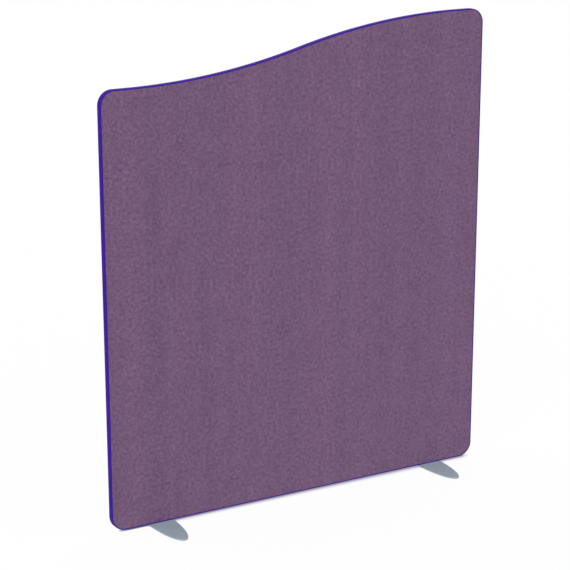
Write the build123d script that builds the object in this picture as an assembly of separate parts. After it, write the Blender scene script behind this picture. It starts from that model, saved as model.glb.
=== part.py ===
from build123d import *
import math
import os

# A freestanding office screen with a wave top. Two fabric faces cover a thin framed panel,
# a plastic T-section is pressed into a groove all round its edge, and the panel stands on
# two flat oval steel feet that are screwed to its bottom edge.
# X runs along the screen, with the low side of the wave at -X. Y runs through its thickness,
# with the front at -Y. Z is up, and the floor is at zero. Every size is in millimetres.

# The whole screen
screen_width = 1600.0
screen_height = 1800.0          # the floor to the top of the high side
wave_rise = 185.0               # how much lower the low side is
level_length = 45.0             # level top edge between each corner's round and the wave
corner_radius = 55.0            # at the trim's outer face

# Feet
foot_length = 400.0             # across the screen
foot_width = 100.0              # along the screen
foot_thickness = 5.0
foot_edge_radius = 1.5
foot_inset = 200.0              # a foot's centre from the end of the screen

# Screws and inserts that hold the feet
screw_spacing = 60.0            # between the two screws of a foot
screw_radius = 3.0              # M6
screw_length = 25.0
screw_tip_chamfer = 0.8
screw_head_overhang = 3.0       # the head past the shank, countersunk at 90 degrees
screw_head_recess = 0.3         # how far the head lies above the plate's underside
socket_across_flats = 4.0
socket_depth = 2.2
screw_hole_clearance = 0.3      # round the screw in the plate, trim and fabric
thread_clearance = 0.05         # round the screw in its insert
insert_wall = 2.0               # from the screw to the top of the insert's ridges
insert_ridge_height = 0.6
insert_ridge_width = 1.2
insert_ridge_count = 5
insert_length = 18.0
insert_bore_margin = 1.5        # how much deeper the bore is than the insert or screw in it

# Edge trim, a T-section
trim_overhang = 0.4             # how far the flange stands proud of each fabric
trim_lip = 4.0                  # the thickness of its flange, which shows as a border
trim_crown = 0.4                # how far the flange's outer face bulges
trim_edge_radius = 1.6
stem_thickness = 1.8
stem_length = 12.0
barb_height = 0.3
barb_length = 2.2
barb_spacing = 0.8              # between one barb and the next
barb_count = 3
groove_depth_margin = 0.5       # how much deeper the groove is than the stem
stem_notch_margin = 2.0         # the stem is cut away this far round each insert
trim_joint_gap = 0.5            # between the trim's two ends, at the middle of the bottom

# Layers of the panel, from the middle out
frame_thickness = 16.0
skin_thickness = 3.0
interliner_thickness = 0.8
fabric_thickness = 0.8
fabric_edge_radius = 0.6        # where the fabric turns over the edge
fabric_return_margin = 1.3      # from the trim's groove to each fabric's turned edge

# Frame
bottom_rail_height = 60.0
top_rail_depth = 70.0
stile_width = 60.0
centre_stile_width = 60.0
cross_rail_height = 60.0
cross_rail_level = 900.0        # the floor to the middle of the cross rails
infill_clearance = 0.5          # round each infill board

# Dowels
dowel_radius = 4.0
dowel_length = 50.0
dowel_chamfer = 1.0
dowel_spacing = 30.0            # between the two dowels of a joint
dowel_side_clearance = 0.05
dowel_end_clearance = 1.0

# Tool bodies run past the material by this much
overrun = 10.0

# Worked-out places
panel_bottom = foot_thickness
low_top = screen_height - wave_rise
side = screen_width / 2
wave_start = corner_radius + level_length - side
wave_end = -wave_start
wave_half_run = (wave_end - wave_start) / 2
wave_half_rise = wave_rise / 2
wave_radius = (wave_half_run**2 + wave_half_rise**2) / (2 * wave_half_rise)
wave_angle = 2 * math.degrees(math.atan2(wave_half_rise, wave_half_run))
core_inset = trim_lip + fabric_thickness
core_bottom = panel_bottom + core_inset
frame_face = frame_thickness / 2
skin_face = frame_face + skin_thickness
interliner_face = skin_face + interliner_thickness
fabric_face = interliner_face + fabric_thickness
trim_half_width = fabric_face + trim_overhang
groove_width = stem_thickness + 2 * barb_height
groove_inset = trim_lip + stem_length + groove_depth_margin
rail_top = core_bottom + bottom_rail_height
rail_underside = core_inset + top_rail_depth
stile_inner = side - core_inset - stile_width
stile_dowels = (stile_inner + side - groove_inset) / 2
foot_centres = (foot_inset - side, side - foot_inset)
screw_head_radius = screw_radius + screw_head_overhang
insert_radius = screw_radius + insert_wall
insert_bore_top = max(core_bottom + insert_length, screw_head_recess + screw_length) + insert_bore_margin


def bounded(edges):
    """The flat face inside a closed loop of edges."""
    return Face(Wire(edges))


def slab(face, y_low, y_high):
    """A face drawn in X and Z, made solid from one place along Y to another."""
    back = Plane((0, y_high, 0), x_dir=(1, 0, 0), z_dir=(0, -1, 0))
    return extrude(back * face, amount=y_high - y_low)


def wave_edges(inset, lowered):
    """The wave's two arcs from its high end to its low end, inset from the top edge and lowered."""
    high = (wave_end, screen_height - wave_radius - lowered)
    low = (wave_start, low_top + wave_radius - lowered)
    return [
        CenterArc(high, wave_radius - inset, 90, wave_angle),
        CenterArc(low, wave_radius + inset, 270 + wave_angle, -wave_angle),
    ]


def outline_edges(inset):
    """The panel's outline, so far inside the trim's outer face, from the middle of its bottom edge."""
    radius = corner_radius - inset
    corner = side - corner_radius
    x_max = side - inset
    z_min = panel_bottom + inset
    z_high = screen_height - inset
    z_low = low_top - inset
    z_corner = panel_bottom + corner_radius
    z_corner_high = screen_height - corner_radius
    z_corner_low = low_top - corner_radius
    return [
        Line((0, z_min), (corner, z_min)),
        CenterArc((corner, z_corner), radius, 270, 90),
        Line((x_max, z_corner), (x_max, z_corner_high)),
        CenterArc((corner, z_corner_high), radius, 0, 90),
        Line((corner, z_high), (wave_end, z_high)),
        *wave_edges(inset, 0),
        Line((wave_start, z_low), (-corner, z_low)),
        CenterArc((-corner, z_corner_low), radius, 90, 90),
        Line((-x_max, z_corner_low), (-x_max, z_corner)),
        CenterArc((-corner, z_corner), radius, 180, 90),
        Line((-corner, z_min), (0, z_min)),
    ]


def outline(inset):
    """The panel's face, so far inside the trim's outer face."""
    return bounded(outline_edges(inset))


def below_wave(lowered):
    """Everything under the top edge lowered by so much, as wide as the screen."""
    z_high = screen_height - lowered
    z_low = low_top - lowered
    return bounded([
        Line((-side, 0), (side, 0)),
        Line((side, 0), (side, z_high)),
        Line((side, z_high), (wave_end, z_high)),
        *wave_edges(0, lowered),
        Line((wave_start, z_low), (-side, z_low)),
        Line((-side, z_low), (-side, 0)),
    ])


def wave_height(x):
    """How high the screen's top edge is at x."""
    if x <= wave_start:
        return low_top
    if x >= wave_end:
        return screen_height
    if x < (wave_start + wave_end) / 2:
        return low_top + wave_radius - math.sqrt(wave_radius**2 - (x - wave_start) ** 2)
    return screen_height - wave_radius + math.sqrt(wave_radius**2 - (wave_end - x) ** 2)


def block(x_low, x_high, z_low, z_high):
    """A rectangle in X and Z, from its corners."""
    return Pos((x_low + x_high) / 2, (z_low + z_high) / 2) * Rectangle(x_high - x_low, z_high - z_low)


def upright(x, z, radius, length):
    """A round bar that stands on z."""
    return Pos(x, 0, z + length / 2) * Cylinder(radius, length)


# Dowels and the holes for them

def dowel_places(name):
    """Where the dowels of a set lie, each as its centre and whether it stands upright."""
    pair = (-dowel_spacing / 2, dowel_spacing / 2)
    if name == "bottom":
        return [(centre + step, rail_top, True)
                for centre in (-stile_dowels, 0, stile_dowels) for step in pair]
    if name == "top":
        return [(centre + step, wave_height(centre + step) - rail_underside, True)
                for centre in (-stile_dowels, 0, stile_dowels) for step in pair]
    half = centre_stile_width / 2
    return [(x, cross_rail_level + step, False)
            for x in (-stile_inner, -half, half, stile_inner) for step in pair]


def dowel_bar(place, radius, length):
    """A round bar centred on a dowel's place, along the way that it lies."""
    x, z, stands = place
    turn = Rotation(0, 0, 0) if stands else Rotation(0, 90, 0)
    return Pos(x, 0, z) * turn * Cylinder(radius, length)


def dowel_set(name):
    """The dowels of one set of joints."""
    made = []
    for place in dowel_places(name):
        bar = dowel_bar(place, dowel_radius, dowel_length)
        made.append(chamfer(bar.edges().filter_by(GeomType.CIRCLE), dowel_chamfer))
    return Compound(children=made)


def dowel_holes():
    """The holes for every dowel."""
    radius = dowel_radius + dowel_side_clearance
    length = dowel_length + 2 * dowel_end_clearance
    return [dowel_bar(place, radius, length)
            for name in ("bottom", "top", "cross") for place in dowel_places(name)]


# Frame

def trim_groove():
    """The groove round the frame's edge that takes the trim's stem."""
    ring = outline(core_inset) - outline(groove_inset)
    return slab(ring, -groove_width / 2, groove_width / 2)


def insert_places():
    """Where the inserts and screws stand along X, foot by foot."""
    return [[centre - screw_spacing / 2, centre + screw_spacing / 2] for centre in foot_centres]


def frame_member(face, grooved):
    """One piece of the frame: its face as a bar, with its dowel holes and its part of the groove."""
    bar = slab(face, -frame_face, frame_face)
    for hole in dowel_holes():
        bar -= hole
    return bar - trim_groove() if grooved else bar


def bottom_rail():
    """The rail that the feet are screwed to, with the bottom corners."""
    rail = frame_member(outline(core_inset) & block(-side, side, 0, rail_top), True)
    start = core_bottom - overrun
    for pair in insert_places():
        for x in pair:
            rail -= upright(x, start, insert_radius, insert_bore_top - start)
    return rail


def top_rail():
    """The rail cut to the wave, with the top corners."""
    return frame_member(outline(core_inset) - below_wave(rail_underside), True)


def stile(x_low, x_high, grooved):
    """An upright between the bottom rail and the top rail."""
    face = outline(core_inset) & below_wave(rail_underside)
    return frame_member(face & block(x_low, x_high, rail_top, screen_height), grooved)


def cross_rail(x_low, x_high):
    """A short rail between two uprights."""
    half = cross_rail_height / 2
    return frame_member(block(x_low, x_high, cross_rail_level - half, cross_rail_level + half), False)


def infill(x_low, x_high, z_low, z_high):
    """A fibre board that fills one opening of the frame."""
    room = block(x_low + infill_clearance, x_high - infill_clearance,
                 z_low + infill_clearance, z_high - infill_clearance)
    return slab(room & below_wave(rail_underside + infill_clearance), -frame_face, frame_face)


# Layers on the frame. A layer is made for the back, at +Y, and mirrored for the front.

def on_face(layer, front):
    """A layer on the back as it is, or mirrored to the front."""
    return mirror(layer, about=Plane.XZ) if front else layer


def skin(front):
    """A hardboard skin, glued to the frame."""
    return on_face(slab(outline(core_inset), frame_face, skin_face), front)


def interliner(front):
    """A thin felt between skin and fabric."""
    return on_face(slab(outline(core_inset), skin_face, interliner_face), front)


def fabric(front):
    """The fabric of one face, turned over the panel's edge under the trim."""
    cloth = slab(outline(trim_lip), interliner_face, fabric_face)
    edge = groove_width / 2 + fabric_return_margin
    cloth += slab(outline(trim_lip) - outline(core_inset), edge, interliner_face)
    outer = cloth.faces().sort_by(Axis.Y)[-1]
    cloth = fillet(outer.edges(), fabric_edge_radius)
    for hole in screw_holes():
        cloth -= hole
    return on_face(cloth, front)


# Trim

def trim_section():
    """The trim's section: across the edge in X, and from its outer face inwards in Y."""
    half = trim_half_width
    root = stem_thickness / 2
    right = [(half, trim_crown), (half, trim_lip), (root, trim_lip)]
    for number in reversed(range(barb_count)):
        tip = trim_lip + stem_length - number * (barb_length + barb_spacing)
        heel = tip - barb_length
        right += [(root, heel), (root + barb_height, heel), (root, tip)]
    left = [(-x, y) for x, y in reversed(right)]
    crown = ThreePointArc(left[-1], (0, 0), right[0])
    section = bounded([crown, *Polyline(*right, *left).edges()])
    corners = [vertex for vertex in section.vertices() if math.isclose(vertex.Y, trim_crown)]
    return fillet(corners, trim_edge_radius)


def edge_trim():
    """The T-section all round the panel, with its two ends at the middle of the bottom edge."""
    place = Plane((0, 0, panel_bottom), x_dir=(0, 1, 0), z_dir=(1, 0, 0))
    path = Plane.XZ * Wire(outline_edges(0))
    strip = sweep(place * trim_section(), path=path)
    depth = 2 * (trim_lip + stem_length + overrun)
    strip -= Pos(0, 0, panel_bottom) * Box(trim_joint_gap, 2 * trim_half_width + overrun, depth)
    for hole in screw_holes():
        strip -= hole
    notch = 2 * (insert_radius + stem_notch_margin)
    height = stem_length + overrun
    for pair in insert_places():
        for x in pair:
            middle = panel_bottom + trim_lip + height / 2
            strip -= Pos(x, 0, middle) * Box(notch, groove_width + overrun, height)
    return strip


# Feet and their fixings

def screw_holes():
    """The screws' clearance holes, from under the floor to the frame."""
    radius = screw_radius + screw_hole_clearance
    return [upright(x, -overrun, radius, overrun + core_bottom) for pair in insert_places() for x in pair]


def foot(centre):
    """A flat oval plate with two countersunk holes."""
    plate = extrude(Pos(centre, 0) * Ellipse(foot_width / 2, foot_length / 2), amount=foot_thickness)
    plate = fillet(plate.faces().sort_by(Axis.Z)[-1].edges(), foot_edge_radius)
    for hole in screw_holes():
        plate -= hole
    mouth = screw_head_radius + screw_head_recess
    for pair in insert_places():
        for x in pair:
            plate -= Pos(x, 0, mouth / 2) * Cone(mouth, 0, mouth)
    return plate


def foot_screw(x):
    """A countersunk screw with a hexagon socket, head down."""
    section = [
        (0, 0), (screw_head_radius, 0), (screw_radius, screw_head_overhang),
        (screw_radius, screw_length - screw_tip_chamfer),
        (screw_radius - screw_tip_chamfer, screw_length), (0, screw_length),
    ]
    body = revolve(Plane.XZ * bounded(Polyline(*section, close=True).edges()), axis=Axis.Z)
    socket = RegularPolygon(socket_across_flats / 2, 6, major_radius=False)
    body -= extrude(socket, amount=socket_depth)
    return Pos(x, 0, screw_head_recess) * body


def foot_insert(x):
    """A threaded insert for a screw, with ridges that grip the rail."""
    root = insert_radius - insert_ridge_height
    body = upright(0, 0, root, insert_length)
    step = (insert_length - insert_ridge_width) / (insert_ridge_count - 1)
    for number in range(insert_ridge_count):
        body += upright(0, number * step, insert_radius, insert_ridge_width)
    body -= upright(0, -overrun, screw_radius + thread_clearance, insert_length + 2 * overrun)
    return Pos(x, 0, core_bottom) * body


# All the pieces, by name

def pieces():
    """Every piece of the screen, as its name and its shape."""
    half_stile = centre_stile_width / 2
    cross_low = cross_rail_level - cross_rail_height / 2
    cross_high = cross_rail_level + cross_rail_height / 2
    left_bay = (-stile_inner, -half_stile)
    right_bay = (half_stile, stile_inner)
    yield "bottom_rail", bottom_rail()
    yield "top_rail", top_rail()
    yield "left_stile", stile(-side, -stile_inner, True)
    yield "right_stile", stile(stile_inner, side, True)
    yield "centre_stile", stile(-half_stile, half_stile, False)
    yield "left_cross_rail", cross_rail(*left_bay)
    yield "right_cross_rail", cross_rail(*right_bay)
    yield "bottom_dowels", dowel_set("bottom")
    yield "top_dowels", dowel_set("top")
    yield "cross_rail_dowels", dowel_set("cross")
    yield "lower_left_infill", infill(*left_bay, rail_top, cross_low)
    yield "lower_right_infill", infill(*right_bay, rail_top, cross_low)
    yield "upper_left_infill", infill(*left_bay, cross_high, screen_height)
    yield "upper_right_infill", infill(*right_bay, cross_high, screen_height)
    for name, front in (("front", True), ("back", False)):
        yield f"{name}_skin", skin(front)
        yield f"{name}_interliner", interliner(front)
        yield f"{name}_fabric", fabric(front)
    yield "edge_trim", edge_trim()
    for name, centre, pair in zip(("left", "right"), foot_centres, insert_places()):
        yield f"{name}_foot", foot(centre)
        yield f"{name}_foot_screws", Compound(children=[foot_screw(x) for x in pair])
        yield f"{name}_foot_inserts", Compound(children=[foot_insert(x) for x in pair])


os.makedirs("parts", exist_ok=True)
for node, shape in pieces():
    export_step(shape, f"parts/{node}.step")
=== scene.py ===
import math
from contextlib import contextmanager

import bmesh
import bpy
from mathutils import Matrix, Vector, geometry, noise


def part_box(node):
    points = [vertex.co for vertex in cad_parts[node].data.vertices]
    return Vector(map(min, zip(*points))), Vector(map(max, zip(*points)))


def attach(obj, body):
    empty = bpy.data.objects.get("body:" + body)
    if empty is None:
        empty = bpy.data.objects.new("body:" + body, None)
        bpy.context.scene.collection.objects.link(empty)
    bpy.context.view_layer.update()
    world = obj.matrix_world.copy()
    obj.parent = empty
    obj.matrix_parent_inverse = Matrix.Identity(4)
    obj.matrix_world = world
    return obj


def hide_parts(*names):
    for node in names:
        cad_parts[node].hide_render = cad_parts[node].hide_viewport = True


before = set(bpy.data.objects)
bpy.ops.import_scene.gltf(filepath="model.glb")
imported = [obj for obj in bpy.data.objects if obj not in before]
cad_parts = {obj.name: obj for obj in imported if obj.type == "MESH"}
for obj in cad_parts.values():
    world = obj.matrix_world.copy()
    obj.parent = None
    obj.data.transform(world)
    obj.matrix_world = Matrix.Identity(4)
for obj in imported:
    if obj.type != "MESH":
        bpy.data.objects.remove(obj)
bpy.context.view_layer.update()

# The looks of a freestanding office screen with a wave top: its two fabric faces, the plastic
# trim round its edge and its two oval steel feet, all in metres. X runs along the screen, the
# front faces -Y and Z is up.

MM = 0.001
WHITE = (1.0, 1.0, 1.0)

# The camera that took the photograph
PHOTO_WIDTH_PX = 570
FOCAL_PX = 1835.4
AXIS_RIGHT_PX = 5.8             # where its axis meets the photograph, from the centre
AXIS_DOWN_PX = 40.7
CAMERA_PLACE = (-3.4026, -5.6498, 2.6118)
CAMERA_PITCH = 0.28707          # downwards, in radians
CAMERA_YAW = 0.53691            # from +Y towards +X, in radians

# Sizes of the whole, from the frame
TRIM_LOW, TRIM_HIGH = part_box("edge_trim")
FABRIC_LOW, FABRIC_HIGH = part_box("back_fabric")
FELT_LOW, FELT_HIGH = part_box("back_interliner")
HALF_WIDTH = TRIM_HIGH.x
BOTTOM = TRIM_LOW.z
TOP = TRIM_HIGH.z
WAVE_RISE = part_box("right_stile")[1].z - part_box("left_stile")[1].z
LIP = FABRIC_LOW.x - TRIM_LOW.x             # from the trim's outer face to the fabric
CORE_INSET = FELT_LOW.x - TRIM_LOW.x        # and to the boards and the felt
TRIM_HALF = TRIM_HIGH.y                     # from the middle of the panel's thickness
FABRIC_FACE = FABRIC_HIGH.y
FABRIC_THICKNESS = FABRIC_HIGH.y - FELT_HIGH.y

# Sizes of the outline
CORNER_RADIUS = 55 * MM         # at the trim's outer face
LEVEL_LENGTH = 45 * MM          # level edge between a corner's round and the wave

# Points along the outline
CORNER_STEPS = 32
BOTTOM_HALF_STEPS = 48
SIDE_STEPS = 96
LEVEL_STEPS = 4
WAVE_STEPS = 48

# The outline's stretches in their order: their steps, and whether they are a corner's round
STRETCHES = (
    (BOTTOM_HALF_STEPS, False), (CORNER_STEPS, True), (SIDE_STEPS, False), (CORNER_STEPS, True),
    (2 * (LEVEL_STEPS + WAVE_STEPS), False), (CORNER_STEPS, True), (SIDE_STEPS, False),
    (CORNER_STEPS, True), (BOTTOM_HALF_STEPS, False),
)

# The wave is two equal arcs
LOW_TOP = TOP - WAVE_RISE
WAVE_END = HALF_WIDTH - CORNER_RADIUS - LEVEL_LENGTH
WAVE_RADIUS = (WAVE_END**2 + (WAVE_RISE / 2) ** 2) / WAVE_RISE
WAVE_ANGLE = 2 * math.degrees(math.atan2(WAVE_RISE / 2, WAVE_END))


# The outline of the panel

def line(start, end, steps):
    """Points from start towards end, without the last."""
    return [tuple(a + (b - a) * i / steps for a, b in zip(start, end)) for i in range(steps)]


def arc(centre, radius, start, sweep, steps, last=False):
    """Points along an arc, with or without the last. Angles are in degrees."""
    count = steps + 1 if last else steps
    turns = [math.radians(start + sweep * i / steps) for i in range(count)]
    return [(centre[0] + radius * math.cos(a), centre[1] + radius * math.sin(a)) for a in turns]


def outline(inset):
    """The outline as points in X and Z, from the middle of the bottom.

    The inset is how far it lies inside the trim's outer face.
    """
    radius = CORNER_RADIUS - inset
    corner = HALF_WIDTH - CORNER_RADIUS
    x_max = HALF_WIDTH - inset
    z_min = BOTTOM + inset
    z_high = TOP - inset
    z_low = LOW_TOP - inset
    z_corner = BOTTOM + CORNER_RADIUS
    high = (WAVE_END, TOP - WAVE_RADIUS)
    low = (-WAVE_END, LOW_TOP + WAVE_RADIUS)
    return [
        *line((0, z_min), (corner, z_min), BOTTOM_HALF_STEPS),
        *arc((corner, z_corner), radius, 270, 90, CORNER_STEPS),
        *line((x_max, z_corner), (x_max, TOP - CORNER_RADIUS), SIDE_STEPS),
        *arc((corner, TOP - CORNER_RADIUS), radius, 0, 90, CORNER_STEPS),
        *line((corner, z_high), (WAVE_END, z_high), LEVEL_STEPS),
        *arc(high, WAVE_RADIUS - inset, 90, WAVE_ANGLE, WAVE_STEPS),
        *arc(low, WAVE_RADIUS + inset, 270 + WAVE_ANGLE, -WAVE_ANGLE, WAVE_STEPS),
        *line((-WAVE_END, z_low), (-corner, z_low), LEVEL_STEPS),
        *arc((-corner, LOW_TOP - CORNER_RADIUS), radius, 90, 90, CORNER_STEPS),
        *line((-x_max, LOW_TOP - CORNER_RADIUS), (-x_max, z_corner), SIDE_STEPS),
        *arc((-corner, z_corner), radius, 180, 90, CORNER_STEPS),
        *line((-corner, z_min), (0, z_min), BOTTOM_HALF_STEPS),
    ]


def edge_height(x):
    """How high the top edge is at x."""
    if abs(x) >= WAVE_END:
        return TOP if x > 0 else LOW_TOP
    if x < 0:
        return LOW_TOP + WAVE_RADIUS - math.sqrt(WAVE_RADIUS**2 - (x + WAVE_END) ** 2)
    return TOP - WAVE_RADIUS + math.sqrt(WAVE_RADIUS**2 - (WAVE_END - x) ** 2)


def depth(x, z):
    """About how far a point of the panel's plane lies inside the outline."""
    across = HALF_WIDTH - abs(x)
    along = min(z - BOTTOM, edge_height(x) - z)
    if across < CORNER_RADIUS and along < CORNER_RADIUS:
        return CORNER_RADIUS - math.hypot(CORNER_RADIUS - across, CORNER_RADIUS - along)
    return min(across, along)


def corner_share(index):
    """Where a point of the outline lies in a corner's round, from 0 to 1, or None elsewhere."""
    for steps, is_corner in STRETCHES:
        if index < steps:
            return index / steps if is_corner else None
        index -= steps
    return None


# Meshes

SHARP_ANGLE = math.radians(40)
MERGE_DISTANCE = 0.002 * MM
QUAD_BEND_ANGLE = math.radians(5)       # the most between two triangles that make one face
QUAD_CORNER_ANGLE = math.radians(20)    # and the most that its corners may be off square
INSIDE_ONLY = 2                         # the kind of triangulation that stays inside the rings
SAME_POINT = 1e-9                       # in metres, between points that are one


def placed(name, data):
    """A new object in the scene."""
    obj = bpy.data.objects.new(name, data)
    bpy.context.scene.collection.objects.link(obj)
    return obj


def made(name, vertices, faces):
    """A new object with smooth faces, and sharp edges where they meet at a steep angle."""
    mesh = bpy.data.meshes.new(name)
    mesh.from_pydata(vertices, [], faces)
    mesh.shade_smooth()
    mesh.set_sharp_from_angle(angle=SHARP_ANGLE)
    return placed(name, mesh)


@contextmanager
def editing(obj):
    """An object's mesh opened for changes, which are written back."""
    bm = bmesh.new()
    bm.from_mesh(obj.data)
    yield bm
    bm.to_mesh(obj.data)
    bm.free()


def face_outwards(obj):
    """Turns the faces of a closed mesh outwards."""
    with editing(obj) as bm:
        bmesh.ops.recalc_face_normals(bm, faces=bm.faces)


def face_along(obj, facing):
    """Turns the faces of an open sheet outwards.

    The last one lies flat on the panel, so it has to face along -Y or Y, as facing says.
    """
    with editing(obj) as bm:
        bmesh.ops.recalc_face_normals(bm, faces=bm.faces)
        bm.faces.ensure_lookup_table()
        if bm.faces[-1].normal.y * facing < 0:
            bmesh.ops.reverse_faces(bm, faces=bm.faces)


def merge_doubles(obj):
    """Merges points in one place, which a cut leaves."""
    with editing(obj) as bm:
        bmesh.ops.remove_doubles(bm, verts=bm.verts, dist=MERGE_DISTANCE)


def join_into_quads(obj):
    """Joins pairs of triangles into rectangles."""
    with editing(obj) as bm:
        triangles = [f for f in bm.faces if len(f.verts) == 3]
        bmesh.ops.join_triangles(bm, faces=triangles, angle_face_threshold=QUAD_BEND_ANGLE,
                                 angle_shape_threshold=QUAD_CORNER_ANGLE)


def apply_modifiers(obj):
    """Makes what the modifiers give the object's own mesh."""
    graph = bpy.context.evaluated_depsgraph_get()
    mesh = bpy.data.meshes.new_from_object(obj.evaluated_get(graph))
    obj.modifiers.clear()
    obj.data = mesh


def walls(start, count, rings):
    """Faces between closed rings of so many points each, which follow each other from a start."""
    faces = []
    for ring in range(rings - 1):
        for i in range(count):
            a = start + ring * count + i
            b = start + ring * count + (i + 1) % count
            faces.append((a, b, b + count, a + count))
    return faces


def triangles_inside(rings, points):
    """Triangles on the flat inside rings, through the rings' points and the others.

    Gives the triangles and, for each point that they number, the given points that it stands for.
    """
    flat = [Vector(p) for ring in rings for p in ring] + [Vector(p) for p in points]
    edges = []
    start = 0
    for ring in rings:
        edges += [(start + i, start + (i + 1) % len(ring)) for i in range(len(ring))]
        start += len(ring)
    found = geometry.delaunay_2d_cdt(flat, edges, [], INSIDE_ONLY, SAME_POINT)
    return found[2], found[3]


def finish_piece(obj, material, node):
    """Gives a new piece its material and its body, and hides the node that it stands for."""
    obj.data.materials.clear()
    obj.data.materials.append(material)
    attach(obj, "root")
    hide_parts(node)


# The sheets of fabric and felt

SHEET_GRID = 16 * MM
ROLL_RADIUS = 1.7 * MM          # where the fabric turns over the board's edge
ROLL_STEPS = 7
RETURN_EDGE = 3.6 * MM          # the turned edge, from the middle of the panel's thickness
RETURN_STEPS = 4
TUCK_CLEARANCE = 0.04 * MM      # between the fabric and the trim
NEAR_EDGE_RINGS = (1.2 * MM, 3.0 * MM, 5.5 * MM, 9.0 * MM, 14.0 * MM)
PLEATS_PER_CORNER = 7
PLEAT_HEIGHT = 0.13 * MM
PLEAT_REACH = 13 * MM
SWELL_HEIGHT = 0.16 * MM
SWELL_LENGTH = 210 * MM
SWELL_FADE = 60 * MM
SWELL_SEED = 3.7
FELT_GRID = 2 * SHEET_GRID
FELT_CLEARANCE = ROLL_RADIUS / 4        # inside the boards' edge, where the fabric turns


def swell(x, z, seed):
    """The slight unevenness of a stretched sheet, which fades out at its edge."""
    fade = min(1.0, depth(x, z) / SWELL_FADE)
    return SWELL_HEIGHT * fade * noise.noise(Vector((x / SWELL_LENGTH, z / SWELL_LENGTH, seed)))


def pleat(index, inset):
    """The height of the fine pleats where the fabric turns round a corner."""
    share = corner_share(index)
    if share is None:
        return 0.0
    fade = max(0.0, 1 - (inset - LIP) / PLEAT_REACH) * math.sin(math.pi * share)
    return PLEAT_HEIGHT * fade * math.cos(2 * math.pi * PLEATS_PER_CORNER * share)


def grid_inside(inset, pitch):
    """The places of an even grid that lie well inside the outline at an inset."""
    across = math.ceil(HALF_WIDTH / pitch)
    up = math.ceil(TOP / pitch)
    places = [(x * pitch, z * pitch) for x in range(-across, across + 1) for z in range(up + 1)]
    return [place for place in places if depth(*place) > inset + pitch / 2]


def sheet(name, section, facing, grid, uneven=0.0, seed=0.0):
    """An open sheet: rings at each place and inset of a section, and a grid inside the last.

    A section's places lie along Y from the middle of the panel. Facing is -1 at the front and
    1 at the back.
    """
    rings = [outline(inset) for _, inset in section]
    vertices = []
    for ring, (place, inset) in zip(rings, section):
        for index, (x, z) in enumerate(ring):
            lift = uneven * (swell(x, z, seed) + pleat(index, inset))
            vertices.append((x, facing * (place + lift), z))
    count = len(rings[0])
    faces = walls(0, count, len(rings))
    place, inset = section[-1]
    inner = grid_inside(inset, grid)
    vertices += [(x, facing * (place + uneven * swell(x, z, seed)), z) for x, z in inner]
    triangles, sources = triangles_inside([rings[-1]], inner)
    start = (len(rings) - 1) * count
    faces += [tuple(start + sources[v][0] for v in triangle) for triangle in triangles]
    obj = made(name, vertices, faces)
    join_into_quads(obj)
    face_along(obj, facing)
    return obj


def thicken(obj, thickness, offset):
    """Gives a sheet its thickness."""
    solid = obj.modifiers.new("thickness", "SOLIDIFY")
    solid.thickness = thickness
    solid.offset = offset
    apply_modifiers(obj)


def fabric(side, facing, material):
    """One face's fabric, turned over the edge of the board and into the trim."""
    edge = LIP + TUCK_CLEARANCE
    roll_start = FABRIC_FACE - ROLL_RADIUS
    roll_end = edge + ROLL_RADIUS
    section = line((RETURN_EDGE, edge), (roll_start, edge), RETURN_STEPS)
    section += arc((roll_start, roll_end), ROLL_RADIUS, -90, 90, ROLL_STEPS, last=True)
    section += [(FABRIC_FACE, roll_end + ring) for ring in NEAR_EDGE_RINGS]
    seed = SWELL_SEED * facing
    obj = sheet(f"{side}_fabric_cover", section, facing, SHEET_GRID, uneven=1.0, seed=seed)
    thicken(obj, FABRIC_THICKNESS, -1)
    finish_piece(obj, material, f"{side}_fabric")


def interliner(side, facing, material):
    """The thin felt between one face's skin and its fabric."""
    middle = (FELT_HIGH.y + FELT_LOW.y) / 2
    section = [(middle, CORE_INSET + FELT_CLEARANCE), (middle, CORE_INSET + NEAR_EDGE_RINGS[-1])]
    obj = sheet(f"{side}_felt", section, facing, FELT_GRID)
    thicken(obj, FELT_HIGH.y - FELT_LOW.y, 0)
    finish_piece(obj, material, f"{side}_interliner")


# The trim

TRIM_CROWN = 0.4 * MM
TRIM_CROWN_STEPS = 8
TRIM_EDGE_RADIUS = 1.6 * MM
TRIM_EDGE_STEPS = 6
TRIM_BURR_RADIUS = 0.3 * MM     # under the lip's edge
TRIM_BURR_STEPS = 2
STEM_HALF = 0.9 * MM
STEM_ROOT_RADIUS = 0.5 * MM
STEM_ROOT_STEPS = 3
STEM_END = LIP + 12 * MM
STEM_TIP_CHAMFER = 0.3 * MM
BARB_HEIGHT = 0.3 * MM
BARB_LENGTH = 2.2 * MM
BARB_PITCH = 3.0 * MM
BARB_COUNT = 3
TRIM_JOINT_GAP = 0.5 * MM
TRIM_HOLE_RADIUS = 3.3 * MM
NOTCH_HALF = 7 * MM
NOTCH_DEPTH_HALF = 2 * STEM_HALF
HOLE_STEPS = 48                 # round the holes in the trim and the feet
ACROSS = "across"               # how far round its section a point of the trim lies


def screw_places(side):
    """Where a foot's two screws stand along the screen."""
    low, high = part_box(f"{side}_foot_screws")
    head_radius = (high.y - low.y) / 2
    return low.x + head_radius, high.x - head_radius


def circle(x, radius):
    """A circle in X and Y round a place on the X axis."""
    turns = [2 * math.pi * i / HOLE_STEPS for i in range(HOLE_STEPS)]
    return [(x + radius * math.cos(a), radius * math.sin(a)) for a in turns]


def trim_crown():
    """Half of the trim's slightly arched outer face, as places across the edge and insets."""
    radius = (TRIM_HALF**2 + TRIM_CROWN**2) / (2 * TRIM_CROWN)
    reach = TRIM_HALF - TRIM_EDGE_RADIUS
    places = [reach * i / TRIM_CROWN_STEPS for i in range(TRIM_CROWN_STEPS + 1)]
    return [(y, radius - math.sqrt(radius**2 - y**2)) for y in places]


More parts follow.
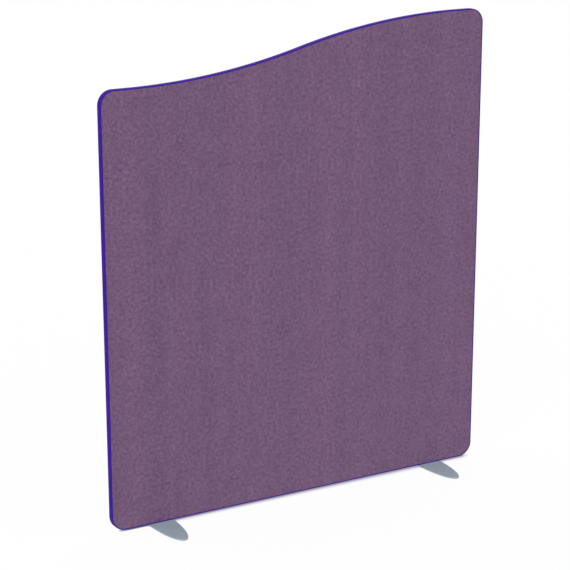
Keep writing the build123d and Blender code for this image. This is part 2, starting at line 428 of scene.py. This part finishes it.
def trim_stem():
    """Half of the trim's barbed stem, from its root to its tip."""
    stem = []
    for number in reversed(range(BARB_COUNT)):
        tip = STEM_END - number * BARB_PITCH
        heel = tip - BARB_LENGTH
        stem += [(STEM_HALF, heel), (STEM_HALF + BARB_HEIGHT, heel)]
        if number:
            stem.append((STEM_HALF, tip))
    stem += [(STEM_HALF, STEM_END - STEM_TIP_CHAMFER), (STEM_HALF - STEM_TIP_CHAMFER, STEM_END)]
    return stem


def trim_section():
    """The T-section as places across the edge and insets, all the way round."""
    crown = trim_crown()
    reach, drop = crown[-1]
    edge_centre = (reach, drop + TRIM_EDGE_RADIUS)
    burr_centre = (TRIM_HALF - TRIM_BURR_RADIUS, LIP - TRIM_BURR_RADIUS)
    root_centre = (STEM_HALF + STEM_ROOT_RADIUS, LIP + STEM_ROOT_RADIUS)
    half = [
        *crown[:-1],
        *arc(edge_centre, TRIM_EDGE_RADIUS, -90, 90, TRIM_EDGE_STEPS, last=True),
        *arc(burr_centre, TRIM_BURR_RADIUS, 0, 90, TRIM_BURR_STEPS, last=True),
        *arc(root_centre, STEM_ROOT_RADIUS, 270, -90, STEM_ROOT_STEPS, last=True),
        *trim_stem(),
    ]
    return half + [(-y, inset) for y, inset in reversed(half[1:])]


def strip_faces(rings, count):
    """Faces of a strip and its two ends, from open rings of so many points round its section."""
    faces = []
    for ring in range(rings):
        for i in range(count - 1):
            a = ring * count + i
            b = (ring + 1) % rings * count + i
            faces.append((a, b, b + 1, a + 1))
    faces.append(tuple(ring * count for ring in range(rings)))
    faces.append(tuple(ring * count + count - 1 for ring in reversed(range(rings))))
    return faces


def edge_trim(material):
    """The T-section all round the panel, with its two ends at the middle of the bottom."""
    section = trim_section()
    vertices = []
    across = []
    reached = 0.0
    previous = section[0]
    for y, inset in section:
        reached += math.dist(previous, (y, inset))
        previous = (y, inset)
        # The outline's first point makes way for the strip's two ends
        (_, z_ends), *ring = outline(inset)
        ring = [(TRIM_JOINT_GAP / 2, z_ends), *ring, (-TRIM_JOINT_GAP / 2, z_ends)]
        vertices += [(x, y, z) for x, z in ring]
        across += [reached] * len(ring)
    rings = len(section)
    obj = made("edge_trim_strip", vertices, strip_faces(rings, len(vertices) // rings))
    face_outwards(obj)
    values = obj.data.attributes.new(ACROSS, "FLOAT", "POINT")
    values.data.foreach_set("value", across)
    cut_for_screws(obj)
    obj.data.set_sharp_from_angle(angle=SHARP_ANGLE)
    finish_piece(obj, material, "edge_trim")


def block(x_low, x_high, y_low, y_high, z_low, z_high):
    """Vertices and faces of a box."""
    vertices = [
        (x, y, z) for x in (x_low, x_high) for y in (y_low, y_high) for z in (z_low, z_high)]
    faces = [(0, 1, 3, 2), (4, 6, 7, 5), (0, 4, 5, 1), (2, 3, 7, 6), (0, 2, 6, 4), (1, 5, 7, 3)]
    return vertices, faces


def post(x, radius, z_low, z_high):
    """Vertices and faces of an upright round bar."""
    vertices = [(px, py, z) for z in (z_low, z_high) for px, py in circle(x, radius)]
    faces = walls(0, HOLE_STEPS, 2)
    faces += [tuple(reversed(range(HOLE_STEPS))), tuple(range(HOLE_STEPS, 2 * HOLE_STEPS))]
    return vertices, faces


def cut_for_screws(obj):
    """Cuts the strip's screw holes, and its stem where the inserts stand."""
    vertices = []
    faces = []
    for x in (*screw_places("left"), *screw_places("right")):
        hole = post(x, TRIM_HOLE_RADIUS, 0, BOTTOM + LIP + STEM_ROOT_RADIUS)
        notch = block(x - NOTCH_HALF, x + NOTCH_HALF, -NOTCH_DEPTH_HALF, NOTCH_DEPTH_HALF,
                      BOTTOM + LIP, BOTTOM + STEM_END + BARB_LENGTH)
        for solid_vertices, solid_faces in (hole, notch):
            start = len(vertices)
            vertices += solid_vertices
            faces += [tuple(start + v for v in face) for face in solid_faces]
    cutter = made("cutter", vertices, faces)
    face_outwards(cutter)
    boolean = obj.modifiers.new("cut", "BOOLEAN")
    boolean.operation = "DIFFERENCE"
    boolean.solver = "EXACT"
    boolean.use_self = True
    boolean.object = cutter
    apply_modifiers(obj)
    merge_doubles(obj)
    bpy.data.objects.remove(cutter)


# The feet

FOOT_STEPS = 160
FOOT_TOP_RADIUS = 1.5 * MM
FOOT_TOP_STEPS = 6
FOOT_BOTTOM_CHAMFER = 0.3 * MM
FOOT_HOLE_RADIUS = 3.3 * MM
FOOT_HOLE_MOUTH_RADIUS = 6.3 * MM


def oval(centre, half_width, half_length, inset):
    """An oval in X and Y, moved inwards by an even width."""
    points = []
    for i in range(FOOT_STEPS):
        turn = 2 * math.pi * i / FOOT_STEPS
        out = Vector((half_length * math.cos(turn), half_width * math.sin(turn))).normalized()
        points.append((centre + half_width * math.cos(turn) - inset * out.x,
                       half_length * math.sin(turn) - inset * out.y))
    return points


def add_walls(vertices, faces, rings):
    """Adds rings of points at their heights, and the walls between them.

    Gives the numbers of the points of the first and the last ring.
    """
    start = len(vertices)
    count = len(rings[0][0])
    for ring, z in rings:
        vertices += [(x, y, z) for x, y in ring]
    faces += walls(start, count, len(rings))
    return range(start, start + count), range(len(vertices) - count, len(vertices))


def add_cap(vertices, faces, outer, holes):
    """Adds a flat face inside the outer ring.

    It is open at the holes, which are rings with their middle and radius.
    """
    rings = [outer] + [ring for ring, _, _ in holes]
    numbers = [number for ring in rings for number in ring]
    flat_rings = [[vertices[v][:2] for v in ring] for ring in rings]
    triangles, sources = triangles_inside(flat_rings, [])
    for triangle in triangles:
        corners = [numbers[sources[v][0]] for v in triangle]
        x = sum(vertices[v][0] for v in corners) / 3
        y = sum(vertices[v][1] for v in corners) / 3
        if all(math.hypot(x - middle, y) > radius for _, middle, radius in holes):
            faces.append(tuple(corners))


def foot(side, material):
    """A flat oval plate with a rounded upper edge and two countersunk holes."""
    low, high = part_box(f"{side}_foot")
    centre = (low.x + high.x) / 2
    half_width = (high.x - low.x) / 2
    half_length = (high.y - low.y) / 2
    profile = [
        (FOOT_BOTTOM_CHAMFER, 0.0), (0.0, FOOT_BOTTOM_CHAMFER),
        *arc((FOOT_TOP_RADIUS, high.z - FOOT_TOP_RADIUS), FOOT_TOP_RADIUS, 180, -90,
             FOOT_TOP_STEPS, last=True),
    ]
    vertices = []
    faces = []
    rim = [(oval(centre, half_width, half_length, inset), z) for inset, z in profile]
    bottom, top = add_walls(vertices, faces, rim)
    bottom_holes = []
    top_holes = []
    countersink = FOOT_HOLE_MOUTH_RADIUS - FOOT_HOLE_RADIUS
    for x in screw_places(side):
        mouth = circle(x, FOOT_HOLE_MOUTH_RADIUS)
        bore = circle(x, FOOT_HOLE_RADIUS)
        hole = [(mouth, 0.0), (bore, countersink), (bore, high.z)]
        first, last = add_walls(vertices, faces, hole)
        bottom_holes.append((first, x, FOOT_HOLE_MOUTH_RADIUS))
        top_holes.append((last, x, FOOT_HOLE_RADIUS))
    add_cap(vertices, faces, bottom, bottom_holes)
    add_cap(vertices, faces, top, top_holes)
    obj = made(f"{side}_foot_plate", vertices, faces)
    face_outwards(obj)
    obj.data.set_sharp_from_angle(angle=SHARP_ANGLE)
    finish_piece(obj, material, f"{side}_foot")


# Node trees

def scaled(colour, factor):
    """A colour made lighter or darker."""
    return tuple(part * factor for part in colour)


def shades(colour, stops):
    """Stops for a ramp of one colour, from places and how light it is there."""
    return [(place, scaled(colour, factor)) for place, factor in stops]


class Tree:
    """A node tree in the making, with a short call for each kind of node that is used here."""

    def __init__(self, owner):
        owner.use_nodes = True
        self.nodes = owner.node_tree.nodes
        self.links = owner.node_tree.links

    def put(self, socket, value):
        """Links a socket to another, or gives it a value. A colour is red, green and blue."""
        if isinstance(value, bpy.types.NodeSocket):
            self.links.new(value, socket)
        elif socket.type == "RGBA":
            socket.default_value = (*value, 1.0)
        else:
            socket.default_value = value

    def add(self, kind, inputs=None, **settings):
        """Adds a node with its settings, and with its inputs linked or set."""
        new = self.nodes.new(f"ShaderNode{kind}")
        for key, value in settings.items():
            setattr(new, key, value)
        for key, value in (inputs or {}).items():
            self.put(new.inputs[key], value)
        return new

    def node(self, kind, output=0, inputs=None, **settings):
        """Adds a node and gives one of its outputs."""
        return self.add(kind, inputs, **settings).outputs[output]

    def math(self, operation, *values):
        """A math node on numbers or sockets."""
        return self.node("Math", inputs=dict(enumerate(values)), operation=operation)

    def vector(self, x, y):
        """A vector of two numbers or sockets."""
        return self.node("CombineXYZ", inputs={0: x, 1: y})

    def mean(self, a, b):
        """The mean of two numbers or sockets."""
        return self.math("MULTIPLY", self.math("ADD", a, b), 0.5)

    def between(self, value, low, high, start=0.0, end=1.0, **settings):
        """A value that goes from low to high as another goes from start to end."""
        inputs = {"Value": value, "From Min": start, "From Max": end, "To Min": low, "To Max": high}
        return self.node("MapRange", inputs=inputs, **settings)

    def ramp(self, factor, stops):
        """A colour ramp through (place, colour) stops."""
        new = self.add("ValToRGB", {"Fac": factor})
        elements = new.color_ramp.elements
        while len(elements) < len(stops):
            elements.new(1.0)
        for element, (place, colour) in zip(elements, stops):
            element.position = place
            element.color = (*colour, 1.0)
        return new.outputs["Color"]

    def mix(self, factor, a, b, blend="MIX"):
        """A mix of two colours."""
        return self.node("Mix", 2, {0: factor, 6: a, 7: b}, data_type="RGBA", blend_type=blend)

    def product(self, first, *others):
        """Colours multiplied with each other."""
        for other in others:
            first = self.mix(1.0, first, other, "MULTIPLY")
        return first

    def mix_shaders(self, factor, a, b):
        """A mix of two shaders."""
        return self.node("MixShader", inputs={0: factor, 1: a, 2: b})

    def seen_directly(self):
        """A socket that is 1 for camera, glossy and transmission rays, and 0 for the rest."""
        path = self.add("LightPath").outputs
        total = path["Is Camera Ray"]
        for name in ("Is Glossy Ray", "Is Transmission Ray"):
            total = self.math("MAXIMUM", total, path[name])
        return total


class Material(Tree):
    """A material in the making, on the principled shader that a new one comes with."""

    def __init__(self, name, **inputs):
        self.data = bpy.data.materials.new(name)
        super().__init__(self.data)
        self.shader = self.nodes["Principled BSDF"]
        self.place = self.node("TexCoord", "Object")
        for key, value in inputs.items():
            self.set(key.replace("_", " "), value)

    def set(self, name, value):
        """Sets an input of the shader by its name."""
        self.put(self.shader.inputs[name], value)

    def stretched(self, lengths):
        """The object's own coordinates, divided by a length, or by one along each axis."""
        if not isinstance(lengths, tuple):
            lengths = (lengths,) * 3
        inputs = {0: self.place, 1: tuple(1 / length for length in lengths)}
        return self.node("VectorMath", inputs=inputs, operation="MULTIPLY")

    def noise(self, grain, detail=2.0, roughness=0.5, distortion=0.0):
        """Noise from 0 to 1.

        Its grain is a length, a length along each axis, or one unit of a vector.
        """
        vector = grain if isinstance(grain, bpy.types.NodeSocket) else self.stretched(grain)
        inputs = {"Vector": vector, "Scale": 1.0, "Detail": detail, "Roughness": roughness,
                  "Distortion": distortion}
        return self.node("TexNoise", "Fac", inputs)

    def clouded(self, colour, factors, length):
        """A colour that is darker and lighter in soft clouds."""
        dark, light = (scaled(colour, factor) for factor in factors)
        return self.mix(self.noise(length, detail=3.0), dark, light)

    def bump(self, height, distance, strength, on=None):
        """A bump of so many metres, on top of another."""
        inputs = {"Height": height, "Distance": distance, "Strength": strength}
        if on is not None:
            inputs["Normal"] = on
        return self.node("Bump", inputs=inputs)


# The fabric

FABRIC_COLOUR = (0.166, 0.0865, 0.178)
FABRIC_DARK = (0.104, 0.046, 0.112)
FABRIC_LIGHT = (0.249, 0.151, 0.262)
# Painted shade: the colour is darkened in the pits between the yarns
FABRIC_PIT_SHADE = (0.62, 0.62, 0.62)     # how dark the pits between the yarns are
YARN_PITCH = 1.15 * MM
YARN_SWING = 0.5                # of a yarn's own height, as it goes over and under
YARN_RELIEF = 0.20 * MM
YARN_WANDER = 16 * MM           # length of the sway of a yarn's line
NOISE_MEAN = 0.5
WARP_PHASE = 0.5                # in crossings, so that the weft is up where the warp is down
WEFT_PHASE = 1.5
YARN_STEP = 3.7                 # between yarns in the noise of their tone, so that they differ
SLUB_LENGTH = 5.2 * MM
SLUB_SHARE = 0.55               # of a yarn's tone
FIBRE_WIDTH = 0.13 * MM
FIBRE_LENGTH = 2.6 * MM
FIBRE_SHARE = 0.45
NAP_LENGTH = 0.45 * MM
NAP_HEIGHT = 0.15 * MM
TUFT_LENGTH = 12.5 * MM
TUFT_HEIGHT = 12 * MM
CLOUD_LENGTH = 80 * MM
STREAK_WIDTH = 75 * MM
STREAK_LENGTH = 3000 * MM

# Stops of the ramps: a place in the noise or height, and the colour or what multiplies it
YARN_STOPS = ((0.38, FABRIC_DARK), (0.50, FABRIC_COLOUR), (0.62, FABRIC_LIGHT))
PIT_SHADE_STOPS = ((0.0, FABRIC_PIT_SHADE), (0.7, WHITE))
TUFT_STOPS = ((0.30, (0.75, 0.635, 0.705)), (0.70, (1.25, 1.365, 1.295)))
CLOUD_STOPS = ((0.30, (0.945, 0.925, 0.94)), (0.70, (1.055, 1.075, 1.06)))
STREAK_STOPS = ((0.30, (0.942, 0.937, 0.942)), (0.70, (1.058, 1.063, 1.058)))


def yarns(m, across, along, phase):
    """The yarns that lie one way: their height in the weave, and their tone from 0 to 1."""
    number = m.math("FLOOR", across)
    side = m.math("MULTIPLY_ADD", m.math("FRACT", across), 2.0, -1.0)
    bulge = m.math("SUBTRACT", 1.0, m.math("MULTIPLY", side, side))
    crossings = m.math("SUBTRACT", m.math("SUBTRACT", along, number), phase)
    wave = m.math("COSINE", m.math("MULTIPLY", crossings, math.pi))
    height = m.math("MULTIPLY_ADD", wave, YARN_SWING, bulge)
    slub = m.vector(m.math("MULTIPLY", number, YARN_STEP),
                    m.math("MULTIPLY", along, YARN_PITCH / SLUB_LENGTH))
    fibre = m.vector(m.math("MULTIPLY", across, YARN_PITCH / FIBRE_WIDTH),
                     m.math("MULTIPLY", along, YARN_PITCH / FIBRE_LENGTH))
    tone = m.math("ADD", m.math("MULTIPLY", m.noise(slub), SLUB_SHARE),
                  m.math("MULTIPLY", m.noise(fibre, detail=1.0), FIBRE_SHARE))
    return height, tone


def weave(m):
    """A plain weave: its height, and the tone of the yarn on top, both from 0 to 1."""
    inputs = {"Vector": m.stretched(YARN_WANDER), "Scale": 1.0, "Detail": 1.0}
    wander = m.node("TexNoise", "Color", inputs)
    place = m.stretched(YARN_PITCH)
    swayed = []
    for axis, channel in (("X", "Red"), ("Z", "Green")):
        sway = m.math("SUBTRACT", m.node("SeparateColor", channel, {0: wander}), NOISE_MEAN)
        swayed.append(m.math("ADD", m.node("SeparateXYZ", axis, {0: place}), sway))
    x, z = swayed
    warp, warp_tone = yarns(m, x, z, WARP_PHASE)
    weft, weft_tone = yarns(m, z, x, WEFT_PHASE)
    height = m.math("DIVIDE", m.math("MAXIMUM", warp, weft), 1 + YARN_SWING)
    weft_over = m.math("GREATER_THAN", weft, warp)
    tone = m.node("Mix", 0, {0: weft_over, 2: warp_tone, 3: weft_tone})
    return height, tone


def fabric_material():
    """A plain weave of plum melange yarns with a short nap, in tufts, clouds and streaks."""
    m = Material("plum_melange_wool", Roughness=0.92, Sheen_Weight=0.06, Sheen_Roughness=0.5)
    height, tone = weave(m)
    tufts = m.noise((TUFT_LENGTH, TUFT_LENGTH, TUFT_HEIGHT), detail=4.0, roughness=0.6)
    clouds = m.noise(CLOUD_LENGTH, detail=3.0, roughness=0.65)
    streaks = m.noise((STREAK_WIDTH, STREAK_WIDTH, STREAK_LENGTH), detail=3.0, roughness=0.55)
    tint = m.product(
        m.ramp(tufts, TUFT_STOPS), m.ramp(clouds, CLOUD_STOPS), m.ramp(streaks, STREAK_STOPS))
    # The weave's height paints shade into the pits between the yarns
    m.set("Base Color", m.product(m.ramp(tone, YARN_STOPS), m.ramp(height, PIT_SHADE_STOPS), tint))
    nap = m.noise(NAP_LENGTH, detail=3.0, roughness=0.65)
    relief = m.bump(height, YARN_RELIEF, strength=0.8)
    m.set("Normal", m.bump(nap, NAP_HEIGHT, strength=0.5, on=relief))
    return m.data


# The trim's plastic

TRIM_COLOUR = (0.043, 0.008, 0.308)
# The lighter colour of the rounded edges: partly wear, partly a painted highlight
TRIM_WEAR_AND_HIGHLIGHT = (0.075, 0.035, 0.36)
TRIM_ROUGHNESS = (0.42, 0.58)
TRIM_LINE_WIDTH = 0.25 * MM
TRIM_LINE_DEPTH = 0.03 * MM
TRIM_CLOUD_LENGTH = 60 * MM
TRIM_CLOUD_FACTORS = (0.93, 1.07)
# Lighter patches on the trim's rounded edges: partly scuffs, partly a painted highlight
TRIM_SCUFF_HIGHLIGHT_LENGTH = 9 * MM
TRIM_SCUFF_HIGHLIGHT_WIDTH = 2 * MM
TRIM_SCUFF_HIGHLIGHT_RANGE = (0.45, 0.75)     # in its noise, from none to full
TRIM_SCUFF_HIGHLIGHT_SHARE = 0.55
TRIM_GRAIN = 0.7 * MM
TRIM_GRAIN_HEIGHT = 0.02 * MM


def trim_material():
    """Blue violet extruded plastic with fine drag lines, and rubbed edges with painted highlight.
    """
    m = Material("blue_violet_trim", Specular_IOR_Level=0.03)
    across = m.node("Attribute", "Fac", attribute_name=ACROSS)
    lines = m.noise(m.vector(m.math("MULTIPLY", across, 1 / TRIM_LINE_WIDTH), 0.0), detail=3.0)
    place = m.math("ABSOLUTE", m.node("SeparateXYZ", "Y", {0: m.place}))
    # The rounded edges are lighter in patches, partly as wear and partly as a painted highlight
    rubbed_and_highlit = m.math("GREATER_THAN", place, TRIM_HALF - TRIM_EDGE_RADIUS)
    scuff_highlight_lengths = (TRIM_SCUFF_HIGHLIGHT_LENGTH, TRIM_SCUFF_HIGHLIGHT_WIDTH, TRIM_SCUFF_HIGHLIGHT_LENGTH)
    scuff_highlight = m.noise(scuff_highlight_lengths, detail=4.0, roughness=0.7)
    scuffed_and_highlit = m.math("MULTIPLY", m.between(scuff_highlight, 0.0, 1.0, *TRIM_SCUFF_HIGHLIGHT_RANGE), TRIM_SCUFF_HIGHLIGHT_SHARE)
    base = m.clouded(TRIM_COLOUR, TRIM_CLOUD_FACTORS, TRIM_CLOUD_LENGTH)
    m.set("Base Color", m.mix(m.math("MULTIPLY", rubbed_and_highlit, scuffed_and_highlit), base, TRIM_WEAR_AND_HIGHLIGHT))
    m.set("Roughness", m.between(lines, *TRIM_ROUGHNESS))
    relief = m.bump(lines, TRIM_LINE_DEPTH, strength=0.5)
    m.set("Normal", m.bump(m.noise(TRIM_GRAIN), TRIM_GRAIN_HEIGHT, strength=0.5, on=relief))
    return m.data


# The feet's powder coat

FOOT_COLOUR = (0.345, 0.415, 0.465)
FOOT_STOPS = ((0.35, 0.90), (0.65, 1.10))
FOOT_ROUGHNESS = (0.42, 0.62)
FOOT_PEBBLE = 0.9 * MM
FOOT_PEBBLE_HEIGHT = 0.06 * MM
FOOT_FLECK = 2.5 * MM
FOOT_CLOUD_LENGTH = 45 * MM


def foot_material():
    """Light grey powder coat: a fine pebbled skin with a soft gloss."""
    m = Material("grey_powder_coat", Specular_IOR_Level=0.3)
    fleck = m.noise(FOOT_FLECK, detail=4.0, roughness=0.7)
    tone = m.mean(fleck, m.noise(FOOT_CLOUD_LENGTH, detail=3.0))
    m.set("Base Color", m.ramp(tone, shades(FOOT_COLOUR, FOOT_STOPS)))
    m.set("Roughness", m.between(fleck, *FOOT_ROUGHNESS))
    m.set("Normal", m.bump(m.noise(FOOT_PEBBLE), FOOT_PEBBLE_HEIGHT, strength=0.45))
    return m.data


# Wood

PINE = (0.56, 0.39, 0.22)
PINE_RINGS = 3 * MM
BEECH = (0.60, 0.42, 0.26)
BEECH_RINGS = 1.5 * MM
WOOD_LENGTH_RATIO = 40          # of a ring's length to its width
WOOD_FIBRE_RATIO = 12           # of a ring's width to a fibre's
WOOD_STOPS = ((0.35, 0.62), (0.5, 1.0), (0.7, 1.12))
WOOD_FIBRE_FACTOR = 0.7         # of a fibre's colour to the wood's
WOOD_FIBRE_SHARE = 0.35
WOOD_ROUGHNESS = (0.5, 0.7)
WOOD_RELIEF = 0.08 * MM


def wood_material(name, colour, axis, ring_width):
    """Planed wood with its grain along one axis."""
    m = Material(name, Specular_IOR_Level=0.3)
    lengths = [ring_width] * 3
    lengths["XYZ".index(axis)] *= WOOD_LENGTH_RATIO
    rings = m.noise(tuple(lengths), detail=4.0, roughness=0.6, distortion=0.6)
    fibre = m.noise(tuple(length / WOOD_FIBRE_RATIO for length in lengths))
    wood = m.ramp(rings, shades(colour, WOOD_STOPS))
    fibre_share = m.math("MULTIPLY", fibre, WOOD_FIBRE_SHARE)
    m.set("Base Color", m.mix(fibre_share, wood, scaled(colour, WOOD_FIBRE_FACTOR)))
    m.set("Roughness", m.between(rings, *WOOD_ROUGHNESS))
    m.set("Normal", m.bump(fibre, WOOD_RELIEF, strength=0.4))
    return m.data


# Boards

HARDBOARD = (0.19, 0.105, 0.055)
HARDBOARD_FIBRES = 5 * MM
FIBREBOARD = (0.46, 0.36, 0.24)
FIBREBOARD_FIBRES = 9 * MM
BOARD_RANGE = (0.38, 0.62)      # in its noise, from dark to light
BOARD_ROUGHNESS_SPREAD = 0.08
BOARD_RELIEF = 0.15 * MM


def board_material(name, colour, fibre_length, spread, roughness):
    """Pressed wood fibres, lying every way."""
    m = Material(name, Specular_IOR_Level=0.3)
    middle = fibre_length / 3
    short = fibre_length / 4
    level = m.noise((fibre_length, short, middle), detail=4.0, roughness=0.7)
    upright = m.noise((middle, short, fibre_length), detail=4.0, roughness=0.7)
    tone = m.mean(level, upright)
    m.set("Base Color", m.ramp(tone, shades(colour, zip(BOARD_RANGE, (1 - spread, 1 + spread)))))
    m.set("Roughness", m.between(
        tone, roughness - BOARD_ROUGHNESS_SPREAD, roughness + BOARD_ROUGHNESS_SPREAD))
    m.set("Normal", m.bump(tone, BOARD_RELIEF, strength=0.5))
    return m.data


# Felt

FELT_STOPS = ((0.35, (0.60, 0.59, 0.56)), (0.65, (0.80, 0.79, 0.76)))
FELT_HAIRS = 1.5 * MM
FELT_RELIEF = 0.3 * MM


def felt_material():
    """Thin off-white needled felt."""
    m = Material("off_white_felt", Roughness=1.0, Sheen_Weight=0.1)
    hairs = m.noise(FELT_HAIRS, detail=5.0, roughness=0.75, distortion=1.5)
    m.set("Base Color", m.ramp(hairs, FELT_STOPS))
    m.set("Normal", m.bump(hairs, FELT_RELIEF, strength=0.6))
    return m.data


# Metal

ZINC = (0.62, 0.63, 0.66)
ZINC_LINES = 0.4 * MM
BRASS = (0.72, 0.53, 0.24)
BRASS_LINES = 0.3 * MM
METAL_EVEN_LENGTH = 1.0         # in metres, so long that the noise stays even round a piece
METAL_ROUGHNESS_SPREAD = (-0.08, 0.10)
METAL_CLOUD_LENGTH = 3 * MM
METAL_CLOUD_FACTORS = (0.88, 1.08)
METAL_RELIEF = 0.02 * MM


def metal_material(name, colour, line_pitch, roughness):
    """Turned or plated metal with fine rings round its length."""
    m = Material(name, Metallic=1.0)
    rings = m.noise((METAL_EVEN_LENGTH, METAL_EVEN_LENGTH, line_pitch))
    m.set("Base Color", m.clouded(colour, METAL_CLOUD_FACTORS, METAL_CLOUD_LENGTH))
    m.set("Roughness", m.between(rings, *[roughness + part for part in METAL_ROUGHNESS_SPREAD]))
    m.set("Normal", m.bump(rings, METAL_RELIEF, strength=0.6))
    return m.data


# The pieces that keep their own shape

def dress_nodes():
    """Gives the pieces that keep their own shape their materials."""
    hardboard = board_material(
        "hardboard", HARDBOARD, HARDBOARD_FIBRES, spread=0.18, roughness=0.45)
    fibreboard = board_material(
        "soft_fibre_board", FIBREBOARD, FIBREBOARD_FIBRES, spread=0.25, roughness=0.9)
    dressed = (
        (wood_material("pine_upright", PINE, "Z", PINE_RINGS),
         ("left_stile", "right_stile", "centre_stile")),
        (wood_material("pine_level", PINE, "X", PINE_RINGS),
         ("bottom_rail", "top_rail", "left_cross_rail", "right_cross_rail")),
        (wood_material("beech_upright", BEECH, "Z", BEECH_RINGS), ("bottom_dowels", "top_dowels")),
        (wood_material("beech_level", BEECH, "X", BEECH_RINGS), ("cross_rail_dowels",)),
        (fibreboard,
         ("lower_left_infill", "lower_right_infill", "upper_left_infill", "upper_right_infill")),
        (hardboard, ("front_skin", "back_skin")),
        (metal_material("bright_zinc", ZINC, ZINC_LINES, roughness=0.28),
         ("left_foot_screws", "right_foot_screws")),
        (metal_material("turned_brass", BRASS, BRASS_LINES, roughness=0.3),
         ("left_foot_inserts", "right_foot_inserts")),
    )
    for material, nodes in dressed:
        for node in nodes:
            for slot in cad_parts[node].material_slots:
                slot.material = material


# The stage, the light and the camera

FLOOR_REACH = 60.0
FLOOR_BOUNCE = (0.5, 0.5, 0.5)
FLOOR_GLOW = 0.52               # what an open floor of that colour gives back
FLOOR_GLOW_SHARE = 0.75         # of the bounce, which keeps the light even down to the floor
FLOOR_LIT_SHARE = 0.06          # of what the camera sees of the floor, with its soft shadow
CONTACT_REACH = 36 * MM
CONTACT_SAMPLES = 16
CONTACT_COLOUR = (0.38, 0.34, 0.46)
CONTACT_START = 0.28            # how open the floor is where the shade is full
CONTACT_BOUNCE = 0.25           # what is left of the bounce there
# Along the screen: a place, how open the floor is where the shade ends, and the gap shade's share
CONTACT_ALONG = (
    (-760 * MM, 0.38, 0.0),
    (-720 * MM, 0.45, 1.0),
    (-670 * MM, 0.48, 1.0),
    (-630 * MM, 0.87, 0.6),
    (300 * MM, 0.96, 0.0),
    (550 * MM, 0.98, 0.0),
    (660 * MM, 0.80, 0.0),
    (750 * MM, 0.84, 0.0),
)
GAP_RANGE = (0.08, 0.42)        # how open the floor is in the gap under the panel
GAP_SHADE = 0.72
HORIZON_LIGHT = 1.30
ZENITH_LIGHT = 0.45
KEY_STRENGTH = 1.17
KEY_SOFTNESS = 50               # degrees across
KEY_PITCH = 39                  # degrees above the horizon
KEY_YAW = -38                   # degrees from straight in front


def contact(m):
    """The floor's shade next to the object, as its colour and what it leaves of the bounce."""
    place = m.node("SeparateXYZ", "X", {0: m.node("TexCoord", "Object")})
    width = 2 * HALF_WIDTH
    stops = [((x + HALF_WIDTH) / width, (end, deep, 0.0)) for x, end, deep in CONTACT_ALONG]
    along = m.ramp(m.between(place, 0.0, 1.0, -HALF_WIDTH, HALF_WIDTH), stops)
    end = m.node("SeparateColor", "Red", {0: along})
    deep = m.node("SeparateColor", "Green", {0: along})
    openness = m.node(
        "AmbientOcclusion", "AO", {"Distance": CONTACT_REACH}, samples=CONTACT_SAMPLES)
    light = m.between(openness, 0.0, 1.0, CONTACT_START, end, interpolation_type="SMOOTHSTEP")
    gap = m.math("MULTIPLY", m.between(openness, 1.0, 0.0, *GAP_RANGE), deep)
    left = m.math("MULTIPLY_ADD", gap, -GAP_SHADE, 1.0)
    colour = m.mix(light, CONTACT_COLOUR, WHITE)
    seen = m.node("VectorMath", inputs={0: colour, 1: left}, operation="MULTIPLY")
    return seen, m.between(light, CONTACT_BOUNCE, 1.0)


def floor_material():
    """Pale to the light, and white where it is seen, with the object's soft shadow."""
    material = bpy.data.materials.new("pale_floor")
    m = Tree(material)
    m.nodes.clear()
    shade, bounce_share = contact(m)
    pale = m.node("BsdfDiffuse", inputs={"Color": FLOOR_BOUNCE})
    glow = m.node("Emission", inputs={"Color": bounce_share, "Strength": FLOOR_GLOW})
    bounce = m.mix_shaders(FLOOR_GLOW_SHARE, pale, glow)
    white = m.node("Emission", inputs={"Color": shade})
    lit = m.node("BsdfDiffuse", inputs={"Color": WHITE})
    seen = m.mix_shaders(FLOOR_LIT_SHARE, white, lit)
    above = m.mix_shaders(m.seen_directly(), bounce, seen)
    # Seen from below, the floor lets the underside show
    below = m.node("BsdfTransparent")
    both = m.mix_shaders(m.node("NewGeometry", "Backfacing"), above, below)
    m.add("OutputMaterial", {"Surface": both})
    return material


def build_floor():
    """A wide level floor."""
    far = FLOOR_REACH
    corners = [(-far, -far, 0), (far, -far, 0), (far, far, 0), (-far, far, 0)]
    floor = made("floor", corners, [(0, 1, 2, 3)])
    floor.data.materials.append(floor_material())


def build_sky():
    """An even pale sky, white where it is seen."""
    world = bpy.data.worlds.new("studio")
    bpy.context.scene.world = world
    m = Tree(world)
    m.nodes.clear()
    shown = m.node("Background", inputs={"Color": WHITE, "Strength": 1.0})
    height = m.node("SeparateXYZ", "Z", {0: m.node("TexCoord", "Generated")})
    strength = m.between(height, HORIZON_LIGHT, ZENITH_LIGHT)
    light = m.node("Background", inputs={"Color": WHITE, "Strength": strength})
    m.add("OutputWorld", {"Surface": m.mix_shaders(m.seen_directly(), light, shown)})


def build_lamp():
    """One broad soft lamp from the upper left."""
    key = bpy.data.lights.new("key", "SUN")
    key.energy = KEY_STRENGTH
    key.angle = math.radians(KEY_SOFTNESS)
    lamp = placed("key", key)
    lamp.rotation_euler = (math.radians(90 - KEY_PITCH), 0, math.radians(KEY_YAW))


def build_camera():
    """The photograph's camera."""
    data = bpy.data.cameras.new("camera")
    data.lens = FOCAL_PX * data.sensor_width / PHOTO_WIDTH_PX
    data.shift_x = -AXIS_RIGHT_PX / PHOTO_WIDTH_PX
    data.shift_y = AXIS_DOWN_PX / PHOTO_WIDTH_PX
    camera = placed("camera", data)
    camera.location = CAMERA_PLACE
    camera.rotation_euler = (math.pi / 2 - CAMERA_PITCH, 0, -CAMERA_YAW)
    bpy.context.scene.camera = camera


def build():
    """Everything in the scene."""
    bpy.context.scene.view_settings.view_transform = "Standard"
    build_camera()
    build_sky()
    build_lamp()
    build_floor()
    cloth = fabric_material()
    felt = felt_material()
    coat = foot_material()
    for side, facing in (("front", -1), ("back", 1)):
        fabric(side, facing, cloth)
        interliner(side, facing, felt)
    edge_trim(trim_material())
    for side in ("left", "right"):
        foot(side, coat)
    dress_nodes()


build()
